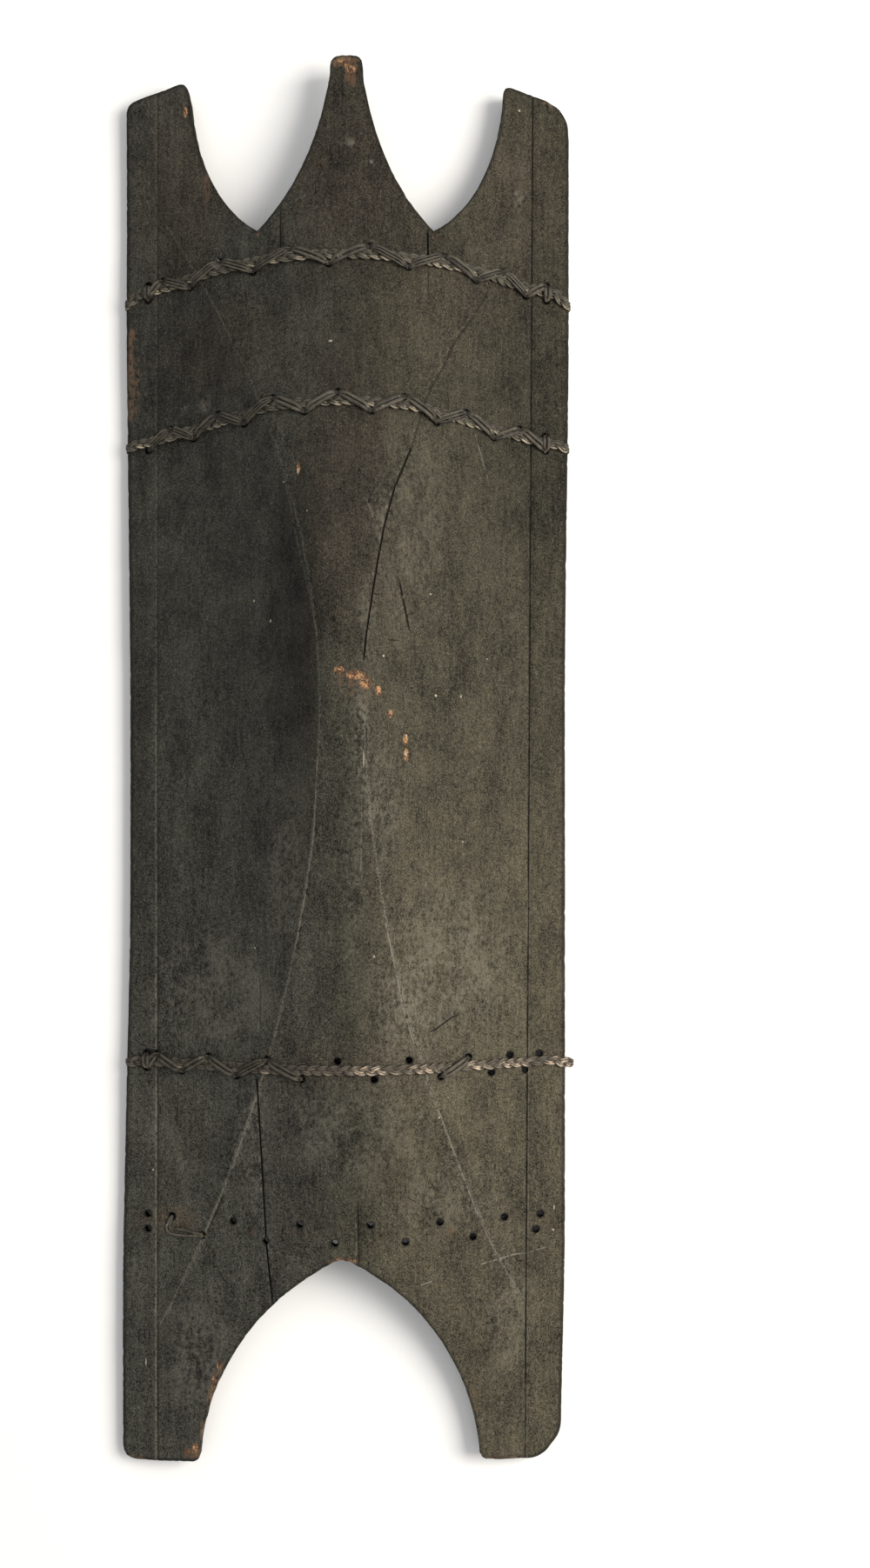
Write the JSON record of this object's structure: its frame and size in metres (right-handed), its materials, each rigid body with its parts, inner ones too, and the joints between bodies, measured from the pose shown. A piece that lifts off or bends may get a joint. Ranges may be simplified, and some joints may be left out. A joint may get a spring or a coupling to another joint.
{
  "type": "carved wooden shield with rattan lashings",
  "caption": "Long hand shield carved from one board, with pronged head, forked foot, raised boss, hollow back with a grip, and plaited rattan lashings.",
  "frame": {"origin": "middle of the footprint, on the plane that the two rims of the hollow lie on", "axes": "+Y along the shield towards its three prongs, +X to the right seen from the front, +Z out of the carved front"},
  "size_m": [0.3584, 1.1, 0.0947],
  "materials": {
    "blackened_wood": "soot-blackened, hand-worn carved wood, matt with a faint polish on the edges",
    "rattan": "smoke-darkened split rattan strands, dull",
    "worn_rattan": "darkened plaited rattan rubbed back to its tan core"
  },
  "bodies": {
    "root": {"board": "blackened_wood", "braid_upper": "rattan", "braid_middle": "rattan", "braid_lower": "worn_rattan", "lacing_upper": "rattan", "lacing_middle": "rattan", "lacing_lower": "rattan", "lacing_lower_stitch": "rattan", "lacing_scrap": "rattan"}
  },
  "joints": []
}
